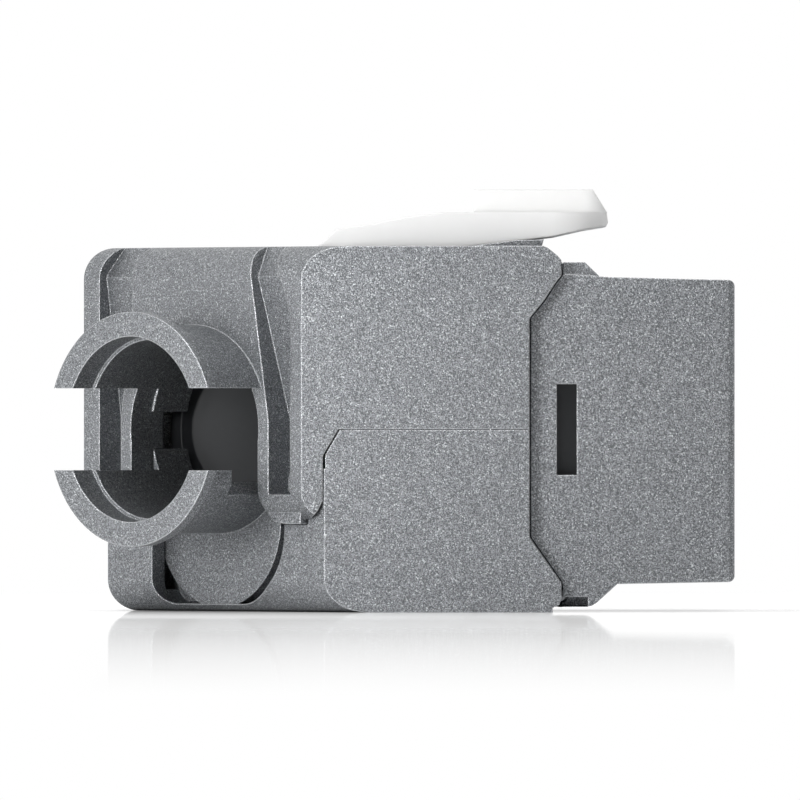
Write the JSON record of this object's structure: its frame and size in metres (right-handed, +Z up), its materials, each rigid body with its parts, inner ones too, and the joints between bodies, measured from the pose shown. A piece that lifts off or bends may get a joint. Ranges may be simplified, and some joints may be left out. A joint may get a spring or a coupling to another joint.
{
  "type": "shielded keystone jack",
  "caption": "Shielded keystone network jack: cast metal body, sprung plastic panel latch on top, and a cover that swings up behind the nose to reach the wire terminals at a slanted cable tube",
  "frame": {"origin": "middle of the body's length on its mid-plane, on the flat underside of the lower shell", "axes": "+Z up, out of the side with the latch; +X out of the plug opening; the cable tube leaves towards -X and -Y"},
  "size_m": [0.0365, 0.0178, 0.0227],
  "materials": {
    "cast_metal": "fine blasted zinc alloy, light grey",
    "white_plastic": "satin white moulding",
    "dark_plastic": "matt black moulding",
    "board": "green solder mask",
    "pin_steel": "plain steel",
    "bronze": "bare bronze strip",
    "gold_contact": "gold plated wire",
    "tinned_bronze": "tin plated blade"
  },
  "bodies": {
    "housing": {"nose_housing": "cast_metal", "lower_shell": "cast_metal", "contact_carrier": "dark_plastic", "circuit_board": "board", "idc_block": "dark_plastic", "wire_manager": "dark_plastic", "upper_hinge_pin_left": "pin_steel", "upper_hinge_pin_right": "pin_steel", "lower_hinge_pin": "pin_steel", "ground_spring_left": "bronze", "ground_spring_right": "bronze", "contact_1": "gold_contact", "contact_2": "gold_contact", "contact_3": "gold_contact", "contact_4": "gold_contact", "contact_5": "gold_contact", "contact_6": "gold_contact", "contact_7": "gold_contact", "contact_8": "gold_contact", "idc_terminal_1": "tinned_bronze", "idc_terminal_2": "tinned_bronze", "idc_terminal_3": "tinned_bronze", "idc_terminal_4": "tinned_bronze", "idc_terminal_5": "tinned_bronze", "idc_terminal_6": "tinned_bronze", "idc_terminal_7": "tinned_bronze", "idc_terminal_8": "tinned_bronze"},
    "cover": {"upper_shell": "cast_metal"},
    "panel_latch": {"latch": "white_plastic"}
  },
  "joints": [
    {"name": "cover_hinge", "type": "hinge", "parent": "housing", "child": "cover", "pos_m": [0.0074, 0, 0.01874], "axis": [0, 1, 0], "range_deg": [0, 16]},
    {"name": "latch_flex", "type": "hinge", "parent": "cover", "child": "panel_latch", "pos_m": [-0.0034, 0, 0.019], "axis": [0, 1, 0], "range_deg": [0, 4.5], "stiffness_Nm_per_rad": 1}
  ]
}
